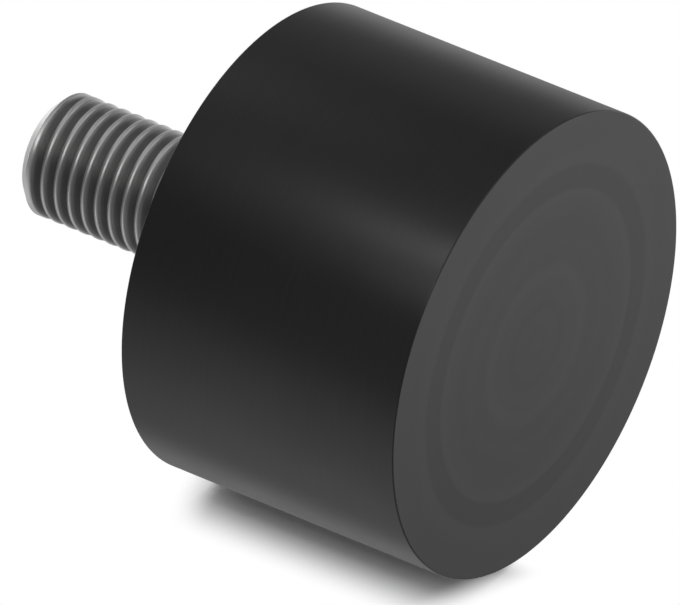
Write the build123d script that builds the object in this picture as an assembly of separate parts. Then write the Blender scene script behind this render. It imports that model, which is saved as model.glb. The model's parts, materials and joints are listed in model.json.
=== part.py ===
from build123d import *
import os

# A cylindrical rubber vibration mount. A steel disc is bonded into one end of the
# moulded rubber and holds a threaded stud; the other end is plain rubber, the face
# that takes the load. The mount stands on that face, with the stud pointing up.
#
# Frame: millimetres, +Z along the stud, origin at the centre of the plain rubber face.

# Moulded rubber
body_diameter = 30.0
body_height = 20.0
body_edge_radius = 0.2     # the crisp rounding that the mould leaves at both rims
rubber_rim = 1.2           # thickness of the rubber that wraps the disc's edge

# Blanked steel disc, its outer face flush with the end of the rubber
plate_thickness = 2.0
plate_edge_chamfer = 0.5   # the broken edge that the rubber grips, on the inner side

# Stud, modelled at its major diameter
stud_diameter = 8.0
stud_length = 15.7         # from the seat to the tip
stud_tip_chamfer = 0.65
collar_diameter = 10.0     # pressed into the disc's hole, flush with the seat
head_diameter = 14.0       # lies behind the disc, inside the rubber
head_thickness = 2.5
head_chamfer = 0.4

# What follows from them
seat_level = body_height
plate_underside = seat_level - plate_thickness
plate_diameter = body_diameter - 2 * rubber_rim
head_underside = plate_underside - head_thickness
tip_level = seat_level + stud_length


def round_bar(diameter, bottom, top):
    """A cylinder on the mount's axis, between two levels."""
    bar = Cylinder(diameter / 2, top - bottom, align=(Align.CENTER, Align.CENTER, Align.MIN))
    return Pos(0, 0, bottom) * bar


def rims(bar):
    """The round edges of a bar, lowest first."""
    return bar.edges().filter_by(GeomType.CIRCLE).sort_by(Axis.Z)


def make_backing_plate():
    """Blanked disc with a broken inner edge and a hole that the stud's collar fills."""
    disc = round_bar(plate_diameter, plate_underside, seat_level)
    disc = chamfer(rims(disc)[0], plate_edge_chamfer)
    return disc - round_bar(collar_diameter, plate_underside, seat_level)


def make_threaded_stud():
    """Headed stud: the head pulls on the disc from behind, the collar fills its hole."""
    head = round_bar(head_diameter, head_underside, plate_underside)
    head = chamfer(rims(head)[0], head_chamfer)
    collar = round_bar(collar_diameter, plate_underside, seat_level)
    shank = round_bar(stud_diameter, seat_level, tip_level)
    shank = chamfer(rims(shank)[-1], stud_tip_chamfer)
    return head + collar + shank


def make_rubber_body(plate, stud):
    """Rubber moulded round the finished insert, so that it fits the steel all over."""
    block = round_bar(body_diameter, 0, seat_level)
    block = fillet(rims(block), body_edge_radius)
    return block - plate - stud


backing_plate = make_backing_plate()
threaded_stud = make_threaded_stud()
rubber_body = make_rubber_body(backing_plate, threaded_stud)

nodes = {
    "rubber_body": rubber_body,
    "backing_plate": backing_plate,
    "threaded_stud": threaded_stud,
}

os.makedirs("parts", exist_ok=True)
for name, piece in nodes.items():
    export_step(piece, f"parts/{name}.step")
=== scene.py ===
import json
import math

import bmesh
import bpy
from mathutils import Matrix, Vector


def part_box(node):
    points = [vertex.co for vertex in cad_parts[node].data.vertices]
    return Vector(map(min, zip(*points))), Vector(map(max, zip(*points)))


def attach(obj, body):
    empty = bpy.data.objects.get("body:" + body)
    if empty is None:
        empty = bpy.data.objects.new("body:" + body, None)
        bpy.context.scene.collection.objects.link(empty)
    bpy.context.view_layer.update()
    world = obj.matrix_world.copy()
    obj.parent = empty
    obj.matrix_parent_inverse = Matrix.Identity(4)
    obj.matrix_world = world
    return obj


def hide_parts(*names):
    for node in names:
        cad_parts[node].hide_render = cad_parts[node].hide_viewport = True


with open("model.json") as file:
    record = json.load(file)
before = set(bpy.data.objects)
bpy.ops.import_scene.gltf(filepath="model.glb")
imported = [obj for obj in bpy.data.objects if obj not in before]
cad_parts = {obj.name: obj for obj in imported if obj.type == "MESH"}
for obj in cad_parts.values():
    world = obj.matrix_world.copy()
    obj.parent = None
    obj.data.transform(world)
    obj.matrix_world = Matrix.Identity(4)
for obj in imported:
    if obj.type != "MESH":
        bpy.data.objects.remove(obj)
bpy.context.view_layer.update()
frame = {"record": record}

# ---------------------------------------------------------------- sizes, in metres

MM = 0.001
body_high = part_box("rubber_body")[1]
plate_low, plate_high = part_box("backing_plate")
stud_low, stud_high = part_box("threaded_stud")
stud_mount = next(mount for mount in frame["record"]["mounts"] if mount["name"] == "stud")

body_radius = body_high.x
seat = plate_high.z           # the level of the disc's outer face, and of the rubber's rim round it
plate_radius = plate_high.x
plate_underside = plate_low.z
head_radius = stud_high.x
head_underside = stud_low.z
tip = stud_high.z
stud_radius = stud_mount["dims"]["r_mm"] * MM
tip_chamfer = tip - seat - stud_mount["dims"]["length_mm"] * MM
chamfer_start = tip - tip_chamfer

body_edge = 0.10 * MM         # moulded rounding at both rims of the rubber, crisper than the nominal one
plate_edge = 0.5 * MM         # broken inner edge of the disc
seam_edge = 0.12 * MM         # small chamfer on either side of the seam between rubber and disc
collar_radius = 5.0 * MM
head_edge = 0.4 * MM
crest_allowance = 0.025 * MM  # a rolled thread's crests stay this far under the nominal size
crest_radius = stud_radius - crest_allowance

thread_pitch = 1.0 * MM
thread_depth = 0.40 * thread_pitch
thread_start = math.radians(-90)        # the groove starts on the -Y side
first_groove = 1.37 * MM      # from the seat up to the middle of the groove, where it starts
thread_turns = 13.4
thread_run_in = 1.0           # turns over which the groove deepens, above a plain neck at the seat
thread_run_out = 0.3          # turns over which it leaves the metal, below a plain band at the tip

# Half of the groove's section, from outside the crest to the flank, as shares of the pitch:
# (depth, half width). The crest is rolled round, and the flanks stand at 60 degrees to each other.
groove_shoulder = ((-0.02, 0.49), (0.002, 0.45), (0.012, 0.40), (0.035, 0.35), (0.08, 0.30))
flank_depth, flank_half = groove_shoulder[-1]
root_half = flank_half - (thread_depth / thread_pitch - flank_depth) * math.tan(math.radians(30))
root_drop = 0.10              # the middle of the root lies this much deeper than its two corners
cutter_clearance = 0.02       # how far outside the crest the cutter is before it enters
end_share = 1e-4              # this near to either end of its own length, the cutter has no width
cutter_weld = 0.0001 * MM     # closes the cutter's seam and its ends
cut_weld = 0.001 * MM         # takes up the slivers that the cut leaves, far thinner than any facet

round_steps = 192             # facets round every turned piece
thread_steps = 160            # facets in each turn of the thread
turned_sharp = math.radians(30)
thread_sharp = math.radians(32)


# ---------------------------------------------------------------- meshes

def new_object(name, data):
    """An object in the scene's own collection, at the origin."""
    made = bpy.data.objects.new(name, data)
    bpy.context.scene.collection.objects.link(made)
    return made


def arc(centre_radius, centre_height, radius, start_deg, end_deg, steps=6):
    """Points of a rounded corner in a turned profile."""
    points = []
    for step in range(steps + 1):
        angle = math.radians(start_deg + (end_deg - start_deg) / steps * step)
        points.append((centre_radius + radius * math.cos(angle), centre_height + radius * math.sin(angle)))
    return points


def turned(name, profile, closed=False):
    """A piece turned about the stud's axis. The profile is (radius, height) points;
    an open one starts and ends on the axis, a closed one is a ring's section."""
    shape = bmesh.new()
    columns = []
    for radius, height in profile:
        if radius == 0:
            columns.append([shape.verts.new((0, 0, height))] * round_steps)
            continue
        ring = []
        for step in range(round_steps):
            angle = 2 * math.pi * step / round_steps
            ring.append(shape.verts.new((radius * math.cos(angle), radius * math.sin(angle), height)))
        columns.append(ring)
    pairs = list(zip(columns, columns[1:]))
    if closed:
        pairs.append((columns[-1], columns[0]))
    for lower, upper in pairs:
        for step in range(round_steps):
            after = (step + 1) % round_steps
            corners = [lower[step], lower[after], upper[after], upper[step]]
            shape.faces.new(list(dict.fromkeys(corners)))
    bmesh.ops.recalc_face_normals(shape, faces=shape.faces)
    mesh = bpy.data.meshes.new(name)
    shape.to_mesh(mesh)
    shape.free()
    mesh.shade_smooth()
    mesh.set_sharp_from_angle(angle=turned_sharp)
    return new_object(name, mesh)


# ---------------------------------------------------------------- node trees

class Wiring:
    """Short ways to add and join the nodes of one tree."""

    def __init__(self, tree):
        self.tree = tree

    def add(self, kind, **settings):
        node = self.tree.nodes.new(kind)
        for name, value in settings.items():
            setattr(node, name, value)
        return node

    def plug(self, value, socket):
        """Joins another node's output to a socket, or sets the socket's own value."""
        if isinstance(value, bpy.types.NodeSocket):
            self.tree.links.new(value, socket)
        else:
            socket.default_value = value

    def fill(self, node, settings):
        """Plugs several values into a node's sockets, by the sockets' names."""
        for name, value in settings.items():
            self.plug(value, node.inputs[name])

    def calc(self, operation, *values):
        node = self.add("ShaderNodeMath", operation=operation)
        for value, socket in zip(values, node.inputs):
            self.plug(value, socket)
        return node.outputs[0]

    def total(self, values):
        result = values[0]
        for value in values[1:]:
            result = self.calc("ADD", result, value)
        return result

    def shares(self, pairs):
        """The sum of several values, each times its share."""
        return self.total([self.calc("MULTIPLY", value, share) for value, share in pairs])

    def swing(self, value, size):
        """How far a value is from a half, times a size."""
        return self.calc("MULTIPLY", self.calc("SUBTRACT", value, 0.5), size)

    def vector(self, x, y, z):
        node = self.add("ShaderNodeCombineXYZ")
        for value, socket in zip((x, y, z), node.inputs):
            self.plug(value, socket)
        return node.outputs[0]

    def parts(self, vector):
        node = self.add("ShaderNodeSeparateXYZ")
        self.plug(vector, node.inputs[0])
        return node.outputs

    def dot(self, one, other):
        node = self.add("ShaderNodeVectorMath", operation="DOT_PRODUCT")
        self.plug(one, node.inputs[0])
        self.plug(other, node.inputs[1])
        return node.outputs["Value"]

    def place(self):
        """Where the shaded point is on its own piece."""
        return self.add("ShaderNodeTexCoord").outputs["Object"]

    def from_axis(self, place):
        """The distance from the stud's axis."""
        squares = [self.calc("POWER", place[axis], 2) for axis in ("X", "Y")]
        return self.calc("POWER", self.total(squares), 0.5)

    def ramp(self, value, start, stop, low=0.0, high=1.0):
        """Low up to start, high from stop on, and a smooth step between."""
        node = self.add("ShaderNodeMapRange", interpolation_type="SMOOTHSTEP")
        self.fill(node, {"Value": value, "From Min": start, "From Max": stop, "To Min": low, "To Max": high})
        return node.outputs["Result"]

    def span(self, value, ends_mm):
        """Nothing at the first end, all of it at the second, with the ends in millimetres."""
        empty, full = ends_mm
        if empty < full:
            return self.ramp(value, empty * MM, full * MM)
        return self.ramp(value, full * MM, empty * MM, 1.0, 0.0)

    def choose(self, index, values):
        """One of several numbers, by index, in a Geometry Nodes tree."""
        node = self.add("GeometryNodeIndexSwitch", data_type="FLOAT")
        while len(node.index_switch_items) < len(values):
            node.index_switch_items.new()
        self.plug(index, node.inputs["Index"])
        for item, value in enumerate(values):
            self.plug(value, node.inputs[item + 1])
        return node.outputs[0]

    def welded(self, mesh, distance):
        node = self.add("GeometryNodeMergeByDistance")
        self.fill(node, {"Geometry": mesh, "Distance": distance})
        return node.outputs[0]


def new_group(name, kind, takes, gives):
    """A node group with named sockets. Returns its wiring, its inputs and its output node's sockets."""
    tree = bpy.data.node_groups.new(name, kind)
    for label, socket in takes.items():
        tree.interface.new_socket(label, in_out="INPUT", socket_type=socket)
    for label, socket in gives.items():
        tree.interface.new_socket(label, in_out="OUTPUT", socket_type=socket)
    wiring = Wiring(tree)
    given = wiring.add("NodeGroupInput").outputs
    result = wiring.add("NodeGroupOutput").inputs
    return wiring, given, result


def new_effect(name, takes, gives):
    """A shader group that takes plain numbers and gives one."""
    sockets = {label: "NodeSocketFloat" for label in takes}
    return new_group(name, "ShaderNodeTree", sockets, {gives: "NodeSocketFloat"})


# ---------------------------------------------------------------- thread

def thread_cutter(tree, given):
    """The groove as a solid: a grid wound round the axis, with its short side round the section."""
    # section, once round: lower shoulder, root, upper shoulder, and back to the start
    root_depth = tree.calc("DIVIDE", given["Depth"], given["Pitch"])
    deepest = tree.calc("ADD", root_depth, root_drop)
    depths = [depth for depth, half in groove_shoulder]
    halves = [half for depth, half in groove_shoulder]
    depth_row = depths + [root_depth, deepest, root_depth] + depths[::-1] + depths[:1]
    half_row = [-half for half in halves] + [-root_half, 0.0, root_half] + halves[::-1] + [-halves[0]]
    corners = len(depth_row) - 1

    grid = tree.add("GeometryNodeMeshGrid")
    along_steps = tree.calc("ROUND", tree.calc("MULTIPLY", given["Turns"], given["Steps Per Turn"]))
    tree.fill(grid, {"Size X": 1.0, "Vertices X": tree.calc("ADD", along_steps, 1)})
    tree.fill(grid, {"Size Y": 1.0, "Vertices Y": corners + 1})
    place = tree.parts(tree.add("GeometryNodeInputPosition").outputs[0])
    along = tree.calc("ADD", place["X"], 0.5)
    corner = tree.calc("ROUND", tree.calc("MULTIPLY", tree.calc("ADD", place["Y"], 0.5), corners))

    # the cutter comes in from outside over the first stretch, and leaves over the last
    turn = tree.calc("MULTIPLY", along, given["Turns"])
    from_start = tree.calc("DIVIDE", turn, given["Run In"])
    from_end = tree.calc("DIVIDE", tree.calc("SUBTRACT", given["Turns"], turn), given["Run Out"])
    engaged = tree.calc("MINIMUM", tree.calc("MINIMUM", from_start, from_end), 1.0)
    reach = tree.calc("ADD", deepest, cutter_clearance)
    withdrawn = tree.calc("MULTIPLY", tree.calc("SUBTRACT", 1.0, engaged), reach)

    # the section has no width at either end, so that the ends weld shut
    from_tip = tree.calc("MINIMUM", along, tree.calc("SUBTRACT", 1.0, along))
    is_open = tree.calc("GREATER_THAN", from_tip, end_share)

    depth = tree.calc("SUBTRACT", tree.choose(corner, depth_row), withdrawn)
    radius = tree.calc("SUBTRACT", given["Crest Radius"], tree.calc("MULTIPLY", depth, given["Pitch"]))
    rise = tree.calc("ADD", turn, tree.calc("MULTIPLY", tree.choose(corner, half_row), is_open))
    height = tree.calc("ADD", given["First Groove"], tree.calc("MULTIPLY", rise, given["Pitch"]))
    angle = tree.calc("ADD", given["Start Angle"], tree.calc("MULTIPLY", turn, 2 * math.pi))
    x = tree.calc("MULTIPLY", radius, tree.calc("COSINE", angle))
    y = tree.calc("MULTIPLY", radius, tree.calc("SINE", angle))

    wound = tree.add("GeometryNodeSetPosition")
    tree.fill(wound, {"Geometry": grid.outputs["Mesh"], "Position": tree.vector(x, y, height)})
    outward = tree.add("GeometryNodeFlipFaces")
    tree.plug(tree.welded(wound.outputs[0], cutter_weld), outward.inputs["Mesh"])
    return outward.outputs[0]


def thread_tree():
    """Geometry Nodes: cuts a right-hand thread into a blank that stands on the Z axis."""
    lengths = ("Pitch", "Crest Radius", "Depth", "First Groove")
    numbers = ("Start Angle", "Turns", "Run In", "Run Out")
    takes = {"Blank": "NodeSocketGeometry"}
    takes.update({label: "NodeSocketFloat" for label in lengths + numbers})
    takes.update({"Steps Per Turn": "NodeSocketInt", "Metal": "NodeSocketMaterial"})
    gives = {"Threaded": "NodeSocketGeometry"}
    tree, given, result = new_group("cut_thread", "GeometryNodeTree", takes, gives)
    cutting = tree.add("GeometryNodeMeshBoolean", operation="DIFFERENCE", solver="MANIFOLD")
    tree.fill(cutting, {"Mesh 1": given["Blank"], "Mesh 2": thread_cutter(tree, given)})
    real = tree.add("GeometryNodeRealizeInstances")
    tree.plug(tree.welded(cutting.outputs["Mesh"], cut_weld), real.inputs[0])
    finish = tree.add("GeometryNodeSetMaterial")
    tree.fill(finish, {"Geometry": real.outputs[0], "Material": given["Metal"]})
    tree.plug(finish.outputs[0], result[0])
    return tree.tree


def apply_tree(piece, tree, **settings):
    """Runs a Geometry Nodes tree on a piece and keeps the result as a plain mesh."""
    modifier = piece.modifiers.new(tree.name, "NODES")
    modifier.node_group = tree
    sockets = {item.name: item.identifier for item in tree.interface.items_tree if item.in_out == "INPUT"}
    for label, value in settings.items():
        modifier[sockets[label.replace("_", " ")]] = value
    view_graph = bpy.context.evaluated_depsgraph_get()
    mesh = bpy.data.meshes.new_from_object(piece.evaluated_get(view_graph))
    piece.modifiers.remove(modifier)
    piece.data = mesh


# ---------------------------------------------------------------- shared effects

shared = {}

# The pressed rings: (share of the face's radius, level), where the plain level is a half
ring_levels = (
    (0.00, 0.72), (0.035, 0.50), (0.06, 0.44), (0.12, 0.53), (0.18, 0.36), (0.22, 0.58), (0.27, 0.55),
    (0.315, 0.79), (0.35, 0.66), (0.385, 0.44), (0.42, 0.45), (0.45, 0.56), (0.52, 0.42), (0.58, 0.54),
    (0.62, 0.60), (0.65, 0.76), (0.668, 0.66), (0.685, 0.12), (0.72, 0.18), (0.76, 0.12), (0.775, 0.50),
    (0.79, 0.68), (0.82, 0.68), (0.85, 0.57), (0.90, 0.52), (0.95, 0.55), (1.00, 0.60),
)


def shared_effect(tree, name, **values):
    """One of the shared groups, placed in a tree with values of its own."""
    node = tree.add("ShaderNodeGroup", node_tree=shared[name])
    for label, value in values.items():
        tree.plug(value, node.inputs[label.replace("_", " ")])
    return node.outputs[0]


def lathe_lines_group():
    """Fine lines round the axis, as a lathe or a turned mould leaves them, on walls and ends alike."""
    tree, given, result = new_effect("lathe_lines", ("Spacing", "Break Up"), "Ridge")
    height_weight = 1.37       # not 1, or a chamfer at 45 degrees would have no lines
    least_radius = 0.1 * MM    # keeps a point on the axis from dividing by nothing
    place = tree.parts(tree.place())
    radius = tree.from_axis(place)
    travel = tree.calc("ADD", radius, tree.calc("MULTIPLY", place["Z"], height_weight))
    line = tree.calc("DIVIDE", travel, given["Spacing"])
    off_axis = tree.calc("MAXIMUM", radius, least_radius)
    around = [
        tree.calc("MULTIPLY", tree.calc("DIVIDE", place[axis], off_axis), given["Break Up"])
        for axis in ("X", "Y")
    ]
    noise = tree.add("ShaderNodeTexNoise", noise_dimensions="3D")
    tree.fill(noise, {"Vector": tree.vector(line, *around), "Scale": 1.0, "Detail": 3.0, "Roughness": 0.6})
    tree.plug(noise.outputs["Fac"], result["Ridge"])
    return tree.tree


def grain_group():
    """Cloudy grain of any size: fine for a moulded skin, coarse for smudges and plating."""
    tree, given, result = new_effect("grain", ("Size", "Detail"), "Grain")
    noise = tree.add("ShaderNodeTexNoise", noise_dimensions="3D")
    tree.fill(noise, {"Vector": tree.place(), "Scale": tree.calc("DIVIDE", 1.0, given["Size"])})
    tree.fill(noise, {"Detail": given["Detail"], "Roughness": 0.55})
    tree.plug(noise.outputs["Fac"], result["Grain"])
    return tree.tree


def lighter_outward_group():
    """A mask that grows with the distance from the axis, with patchy edges. On the stud it gives painted
    light on the crests and painted shade in the roots; on the disc it lightens the rim.
    """
    tree, given, result = new_effect("lighter_outward", ("Dull Radius", "Bright Radius", "Patchiness"), "Mask")
    patches = shared_effect(tree, "grain", Size=1.2 * MM, Detail=2.0)
    radius = tree.from_axis(tree.parts(tree.place()))
    patchy_radius = tree.calc("ADD", radius, tree.swing(patches, given["Patchiness"]))
    tree.plug(tree.ramp(patchy_radius, given["Dull Radius"], given["Bright Radius"]), result["Mask"])
    return tree.tree


def pressed_rings_group():
    """The shallow rings of the mould's end, by their radius as a share of the face."""
    tree, given, result = new_effect("pressed_rings", ("Face Radius",), "Level")
    place = tree.parts(tree.place())
    profile = tree.add("ShaderNodeFloatCurve")
    curve = profile.mapping.curves[0]
    curve.points[0].location = ring_levels[0]
    curve.points[1].location = ring_levels[-1]
    for share, level in ring_levels[1:-1]:
        curve.points.new(share, level)
    profile.mapping.update()
    tree.plug(tree.calc("DIVIDE", tree.from_axis(place), given["Face Radius"]), profile.inputs["Value"])
    # the rings are on the plain face at the origin, and nowhere else
    on_face = tree.ramp(place["Z"], 0.05 * MM, 0.15 * MM, 1.0, 0.0)
    tree.plug(tree.calc("ADD", tree.swing(profile.outputs["Value"], on_face), 0.5), result["Level"])
    return tree.tree


def painted_rim_highlight_group():
    """A mask for the two outer corners of a cylinder that stands on the origin, where the rubber's rims get
    a painted highlight.
    """
    tree, given, result = new_effect("painted_rim_highlight", ("Rim Radius", "Far End", "Width"), "Mask")
    place = tree.parts(tree.place())
    inside_side = tree.calc("SUBTRACT", given["Rim Radius"], tree.from_axis(place))
    inside_end = tree.calc("MINIMUM", place["Z"], tree.calc("SUBTRACT", given["Far End"], place["Z"]))
    full_width = tree.calc("MULTIPLY", given["Width"], 0.15)
    near_side = tree.ramp(inside_side, full_width, given["Width"], 1.0, 0.0)
    near_end = tree.ramp(inside_end, full_width, given["Width"], 1.0, 0.0)
    tree.plug(tree.calc("MULTIPLY", near_side, near_end), result["Mask"])
    return tree.tree


def soft_light_group():
    """How bright a round, soft-edged light looks from one direction."""
    takes = {"Direction": "NodeSocketVector", "Towards": "NodeSocketVector", "Tightness": "NodeSocketFloat"}
    tree, given, result = new_group("soft_light", "ShaderNodeTree", takes, {"Light": "NodeSocketFloat"})
    facing = tree.dot(given["Direction"], given["Towards"])
    falling = tree.calc("MULTIPLY", tree.calc("SUBTRACT", facing, 1.0), given["Tightness"])
    tree.plug(tree.calc("EXPONENT", falling), result["Light"])
    return tree.tree


shared["lathe_lines"] = lathe_lines_group()
shared["grain"] = grain_group()
shared["lighter_outward"] = lighter_outward_group()
shared["pressed_rings"] = pressed_rings_group()
shared["painted_rim_highlight"] = painted_rim_highlight_group()
shared["soft_light"] = soft_light_group()


# ---------------------------------------------------------------- materials

rubber_dark = (0.0047, 0.0047, 0.0049)
rubber_light = (0.0273, 0.0273, 0.0271)
# painted highlight colour for the rubber's rounded rims
rubber_rim_highlight = (0.05, 0.05, 0.0497)
# the stud runs from painted shade in its thread's roots to painted light on its crests and chamfer
stud_painted_shade = (0.28, 0.28, 0.28)
stud_painted_light = (0.76, 0.76, 0.755)
plate_dull = (0.46, 0.46, 0.465)
plate_bright = (0.64, 0.64, 0.635)


def new_finish(name):
    """A material with its shader alone. Returns its wiring, the shader's inputs and the material."""
    material = bpy.data.materials.new(name)
    material.use_nodes = True
    return Wiring(material.node_tree), material.node_tree.nodes["Principled BSDF"].inputs, material


def blended(tree, factor, low, high):
    """A colour between two others, each given as three numbers or as a node's output."""
    node = tree.add("ShaderNodeMix", data_type="RGBA")
    tree.plug(factor, node.inputs["Factor"])
    for colour, label in ((low, "A"), (high, "B")):
        tree.plug((*colour, 1) if isinstance(colour, tuple) else colour, node.inputs[label])
    return node.outputs["Result"]


def relief(tree, shader, height, depth):
    """Bump as deep as the depth where the height goes from nothing to one."""
    node = tree.add("ShaderNodeBump")
    tree.fill(node, {"Height": height, "Distance": depth})
    tree.plug(node.outputs["Normal"], shader["Normal"])


def make_rubber():
    """Carbon-black rubber straight from the mould."""
    tree, shader, material = new_finish("moulded_rubber")
    rings = shared_effect(tree, "pressed_rings", Face_Radius=body_radius)
    lines = shared_effect(tree, "lathe_lines", Spacing=0.16 * MM, Break_Up=3.0)
    skin = shared_effect(tree, "grain", Size=0.12 * MM, Detail=2.0)
    smudges = shared_effect(tree, "grain", Size=5 * MM, Detail=3.0)
    # the rounded rims are painted lighter: a painted highlight
    rim = shared_effect(tree, "painted_rim_highlight", Rim_Radius=body_radius, Far_End=seat, Width=body_edge)
    tone = tree.total([tree.swing(rings, 1.3), tree.swing(lines, 0.6), tree.swing(skin, 0.3), 0.5])
    plain = blended(tree, tone, rubber_dark, rubber_light)
    tree.plug(blended(tree, rim, plain, rubber_rim_highlight), shader["Base Color"])
    tree.plug(tree.ramp(smudges, 0.3, 0.7, 0.285, 0.315), shader["Roughness"])
    relief(tree, shader, tree.shares(((lines, 0.4), (skin, 0.6))), 0.0015 * MM)
    return material


def make_stud_steel():
    """Zinc-plated steel with a rolled thread: painted shade darkens the roots, painted light brightens the
    crests, and a painted highlight lies on the chamfer.
    """
    tree, shader, material = new_finish("plated_stud_steel")
    # painted light on the crests and painted shade in the roots, by the distance from the axis
    crest_light_root_shade = shared_effect(
        tree, "lighter_outward",
        Dull_Radius=crest_radius - 0.26 * MM, Bright_Radius=crest_radius - 0.04 * MM, Patchiness=0.02 * MM,
    )
    height = tree.parts(tree.place())["Z"]
    # painted highlight on the tip's chamfer
    chamfer_highlight = tree.ramp(height, chamfer_start - 0.05 * MM, chamfer_start + 0.05 * MM, 0.0, 0.85)
    # together, the stud's painted light and shade
    painted_light_and_shade = tree.calc("MAXIMUM", crest_light_root_shade, chamfer_highlight)
    lines = shared_effect(tree, "lathe_lines", Spacing=0.09 * MM, Break_Up=1.5)
    clouds = shared_effect(tree, "grain", Size=1.6 * MM, Detail=3.0)
    tone = tree.shares(((painted_light_and_shade, 0.8), (lines, 0.12), (clouds, 0.12)))
    tree.plug(blended(tree, tone, stud_painted_shade, stud_painted_light), shader["Base Color"])
    tree.plug(1.0, shader["Metallic"])
    tree.plug(tree.ramp(tree.calc("ADD", painted_light_and_shade, clouds), 0.2, 1.5, 0.45, 0.39), shader["Roughness"])
    relief(tree, shader, lines, 0.0001 * MM)
    return material


def make_plate_steel():
    """Zinc-plated disc: faced on a lathe, so it carries fine rings, and a little brighter at its rim."""
    tree, shader, material = new_finish("plated_disc_steel")
    near_rim = shared_effect(
        tree, "lighter_outward",
        Dull_Radius=plate_radius - 0.9 * MM, Bright_Radius=plate_radius, Patchiness=0.5 * MM,
    )
    lines = shared_effect(tree, "lathe_lines", Spacing=0.12 * MM, Break_Up=1.5)
    clouds = shared_effect(tree, "grain", Size=3 * MM, Detail=4.0)
    tone = tree.shares(((near_rim, 0.25), (lines, 0.45), (clouds, 0.4)))
    tree.plug(blended(tree, tone, plate_dull, plate_bright), shader["Base Color"])
    tree.plug(1.0, shader["Metallic"])
    tree.plug(tree.ramp(clouds, 0.3, 0.7, 0.34, 0.44), shader["Roughness"])
    relief(tree, shader, lines, 0.002 * MM)
    return material


# ---------------------------------------------------------------- pieces

def make_rubber_body():
    """The moulded rubber with the pocket that holds the steel."""
    rounded_radius = body_radius - body_edge
    profile = [(0, 0)]
    profile += arc(rounded_radius, body_edge, body_edge, -90, 0)
    profile += arc(rounded_radius, seat - body_edge, body_edge, 0, 90)
    profile += [
        (plate_radius + seam_edge, seat),
        (plate_radius, seat - seam_edge),
        (plate_radius, plate_underside + plate_edge),
        (plate_radius - plate_edge, plate_underside),
        (head_radius, plate_underside),
        (head_radius, head_underside + head_edge),
        (head_radius - head_edge, head_underside),
        (0, head_underside),
    ]
    return turned("rubber_moulding", profile)


def make_plate():
    """The bonded disc: a ring round the stud's collar."""
    profile = [
        (collar_radius, plate_underside),
        (plate_radius - plate_edge, plate_underside),
        (plate_radius, plate_underside + plate_edge),
        (plate_radius, seat - seam_edge),
        (plate_radius - seam_edge, seat),
        (collar_radius, seat),
    ]
    return turned("bonded_disc", profile, closed=True)


def make_stud(metal):
    """The headed stud, turned as a blank and then threaded."""
    profile = [
        (0, head_underside),
        (head_radius - head_edge, head_underside),
        (head_radius, head_underside + head_edge),
        (head_radius, plate_underside),
        (collar_radius, plate_underside),
        (collar_radius, seat),
        (crest_radius, seat),
        (crest_radius, chamfer_start),
        (crest_radius - tip_chamfer, tip),
        (0, tip),
    ]
    stud = turned("stud_with_thread", profile)
    apply_tree(
        stud, thread_tree(),
        Pitch=thread_pitch, Crest_Radius=crest_radius, Depth=thread_depth,
        First_Groove=seat + first_groove, Start_Angle=thread_start, Turns=thread_turns,
        Run_In=thread_run_in, Run_Out=thread_run_out, Steps_Per_Turn=thread_steps, Metal=metal,
    )
    stud.data.shade_smooth()
    stud.data.set_sharp_from_angle(angle=thread_sharp)
    return stud


def dress(piece, material, node):
    """Gives a piece its finish and its place in the frame."""
    piece.data.materials.clear()
    piece.data.materials.append(material)
    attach(piece, "root")
    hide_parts(node)


stud_steel = make_stud_steel()
dress(make_rubber_body(), make_rubber(), "rubber_body")
dress(make_plate(), make_plate_steel(), "backing_plate")
dress(make_stud(stud_steel), stud_steel, "threaded_stud")


# ---------------------------------------------------------------- camera

camera_below = math.radians(28.065)     # the camera looks up at the plain face by this much
camera_roll = math.radians(68.0035)     # and is rolled, so that the mount appears to lie on its side
camera_lens = 1400                      # millimetres on a 36 mm sensor: almost no perspective
sensor_width = 36
view_width = 40.95 * MM                 # what the view takes in from side to side, at the plain face
face_right = 11.80 * MM                 # the plain face's centre, right of and below the middle of the view
face_below = 2.586 * MM


def aimed(name, data, position, right, up, behind):
    """A camera or lamp in its place. It looks the opposite way to the direction behind."""
    made = new_object(name, data)
    turn = Matrix((right, up, behind)).transposed().to_4x4()
    made.matrix_world = Matrix.Translation(position) @ turn
    return made


def make_camera():
    forward = Vector((0, math.cos(camera_below), math.sin(camera_below)))
    level_right = Vector((1, 0, 0))
    level_up = level_right.cross(forward)
    right = level_right * math.cos(camera_roll) - level_up * math.sin(camera_roll)
    up = level_right * math.sin(camera_roll) + level_up * math.cos(camera_roll)
    data = bpy.data.cameras.new("camera")
    data.lens = camera_lens
    data.sensor_width = sensor_width
    distance = camera_lens / sensor_width * view_width
    data.clip_start = distance / 10
    data.clip_end = distance * 4
    middle = up * face_below - right * face_right
    bpy.context.scene.camera = aimed("camera", data, middle - forward * distance, right, up, -forward)


make_camera()


# ---------------------------------------------------------------- stage

upward = Vector((0, 0, 1))
wall_azimuth = math.radians(139.35)     # the mount's side lies against the backdrop at this azimuth
wall_gap = 0.02 * MM
floor_gap = 0.05 * MM
to_wall = Vector((math.cos(wall_azimuth), math.sin(wall_azimuth), 0))
along_wall = upward.cross(-to_wall)
sheet_half_size = 1.2                   # metres

paper_white = 0.9
wall_lift = 1.08                        # both are added to the paper's own white, to bring it to plain white
floor_lift = 2.30

# Where the backdrop keeps the mount's shadow, in mm: it fades to plain white over each of these spans
shadow_below = (-11.0, -6.75)           # across the mount, away from the line where it touches
shadow_above = (-1.4, -3.4)
shadow_face_end = (-2.9, 0.2)           # along the mount
shadow_stud_end = (24.0, 21.0)
shadow_taper = 0.35                     # both ends draw in by this share of the distance below


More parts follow.
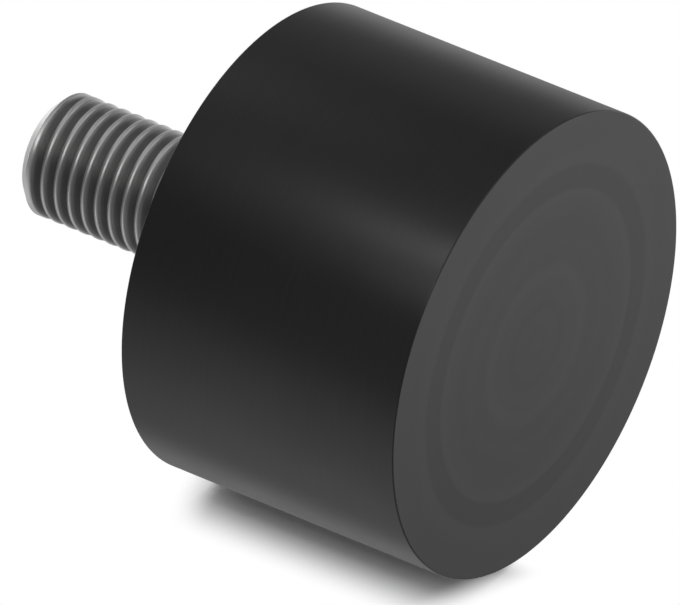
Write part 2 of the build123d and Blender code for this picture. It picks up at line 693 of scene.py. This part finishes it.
def shadow_zone(tree):
    """A mask for the backdrop: one where it keeps the shadow, nothing where it is plain white."""
    place = tree.place()
    aside = tree.dot(place, along_wall)
    height = tree.parts(place)["Z"]
    taper = tree.calc("MULTIPLY", tree.calc("MINIMUM", aside, 0.0), shadow_taper)
    zone = tree.calc("MULTIPLY", tree.span(aside, shadow_below), tree.span(aside, shadow_above))
    zone = tree.calc("MULTIPLY", zone, tree.span(tree.calc("ADD", height, taper), shadow_face_end))
    return tree.calc("MULTIPLY", zone, tree.span(tree.calc("SUBTRACT", height, taper), shadow_stud_end))


def joined(tree, factor, low, high):
    """The low shader where the factor is nothing, the high one where it is one."""
    node = tree.add("ShaderNodeMixShader")
    for value, socket in zip((factor, low, high), node.inputs):
        tree.plug(value, socket)
    return node.outputs[0]


def make_paper(name, lift, has_shadow_zone):
    """White paper with the mount's shadow on its front. From behind it can't be seen."""
    material = bpy.data.materials.new(name)
    material.use_nodes = True
    material.node_tree.nodes.remove(material.node_tree.nodes["Principled BSDF"])
    tree = Wiring(material.node_tree)
    both = tree.add("ShaderNodeAddShader")
    for white, socket in zip((paper_white, lift), both.inputs):
        lit = tree.add("ShaderNodeBsdfDiffuse")
        tree.plug((white, white, white, 1), lit.inputs["Color"])
        tree.plug(lit.outputs[0], socket)
    front = both.outputs[0]
    if has_shadow_zone:
        front = joined(tree, shadow_zone(tree), tree.add("ShaderNodeEmission").outputs[0], front)
    is_behind = tree.add("ShaderNodeNewGeometry").outputs["Backfacing"]
    clear = tree.add("ShaderNodeBsdfTransparent").outputs[0]
    output = material.node_tree.nodes["Material Output"]
    tree.plug(joined(tree, is_behind, front, clear), output.inputs["Surface"])
    return material


def make_sheet(name, centre, across, upright, paper):
    """A flat sheet whose front is on the side of across x upright. Only the camera sees it."""
    corners = []
    for aside, above in ((-1, -1), (1, -1), (1, 1), (-1, 1)):
        corners.append(centre + (across * aside + upright * above) * sheet_half_size)
    mesh = bpy.data.meshes.new(name)
    mesh.from_pydata([tuple(corner) for corner in corners], [], [(0, 1, 2, 3)])
    mesh.materials.append(paper)
    sheet = new_object(name, mesh)
    sheet.visible_diffuse = False
    sheet.visible_glossy = False
    sheet.visible_transmission = False
    sheet.visible_shadow = False


floor_paper = make_paper("floor_paper", floor_lift, False)
wall_paper = make_paper("backdrop_paper", wall_lift, True)
make_sheet("floor", upward * -floor_gap, Vector((1, 0, 0)), Vector((0, 1, 0)), floor_paper)
make_sheet("backdrop", to_wall * (body_radius + wall_gap), along_wall, upward, wall_paper)


# ---------------------------------------------------------------- light

# Round, soft-edged lights of the studio dome: (azimuth and height in degrees, strength)
dome_tightness = 25
dome_lights = (
    (115, -70, 2.05),
    (80, 50, 2.00),
    (70, -40, 1.35),
    (65, 0, 0.80),
    (-55, -60, 0.75),
    (-5, -10, 0.70),
    (160, 20, 0.60),
    (-65, 20, 0.60),
    (-40, -5, 0.60),
    (-20, -75, 0.55),
    (120, 5, 0.50),
    (-5, 55, 0.50),
    (-170, 15, 0.45),
    (-150, 25, 0.45),
    (105, -45, 0.45),
    (55, 15, 0.45),
    (-25, 40, 0.40),
    (125, 25, 0.40),
    (180, 30, 0.35),
    (80, -15, 0.40),
    (20, 20, 0.25),
    (-115, 20, 0.20),
)
background_share = 0.088                # share of the white background that lights and glosses the mount

# Softboxes beside the mount: (name, place in mm, width and height in mm, watts)
softboxes = (
    ("stud end strip", (32.6, -88.4, 30.3), (17.3, 16.0), 0.0022),
    ("high key", (40.0, -396.0, 52.0), (70.0, 70.0), 0.12),
)


def make_world():
    """A dark studio dome with soft lights in it. The camera sees a plain white background instead."""
    world = bpy.data.worlds.new("studio")
    world.use_nodes = True
    bpy.context.scene.world = world
    tree = Wiring(world.node_tree)
    direction = tree.add("ShaderNodeVectorMath", operation="NORMALIZE")
    tree.plug(tree.add("ShaderNodeTexCoord").outputs["Generated"], direction.inputs[0])
    lights = []
    for azimuth, height, strength in dome_lights:
        turn, lift = math.radians(azimuth), math.radians(height)
        towards = Vector((math.cos(turn) * math.cos(lift), math.sin(turn) * math.cos(lift), math.sin(lift)))
        light = shared_effect(
            tree, "soft_light", Direction=direction.outputs[0], Towards=towards, Tightness=dome_tightness,
        )
        lights.append((light, strength))
    path = tree.add("ShaderNodeLightPath").outputs
    seen = tree.calc("MINIMUM", tree.calc("ADD", path["Is Camera Ray"], path["Is Transmission Ray"]), 1.0)
    dome = tree.calc("MULTIPLY", tree.shares(lights), tree.calc("SUBTRACT", 1.0, seen))
    lit = tree.calc("MINIMUM", tree.calc("ADD", path["Is Diffuse Ray"], path["Is Glossy Ray"]), 1.0)
    around = tree.calc("MULTIPLY", lit, background_share)
    background = world.node_tree.nodes["Background"].inputs
    tree.plug(tree.total([dome, seen, around]), background["Strength"])
    tree.plug((1, 1, 1, 1), background["Color"])


def make_softboxes():
    for name, place, size, watts in softboxes:
        data = bpy.data.lights.new(name, "AREA")
        data.shape = "RECTANGLE"
        data.size = size[0] * MM
        data.size_y = size[1] * MM
        data.energy = watts
        position = Vector(place) * MM
        behind = (position - upward * (body_high.z / 2)).normalized()
        right = upward.cross(behind).normalized()
        aimed(name, data, position, right, behind.cross(right), behind)


make_world()
make_softboxes()
bpy.context.scene.view_settings.view_transform = "Standard"
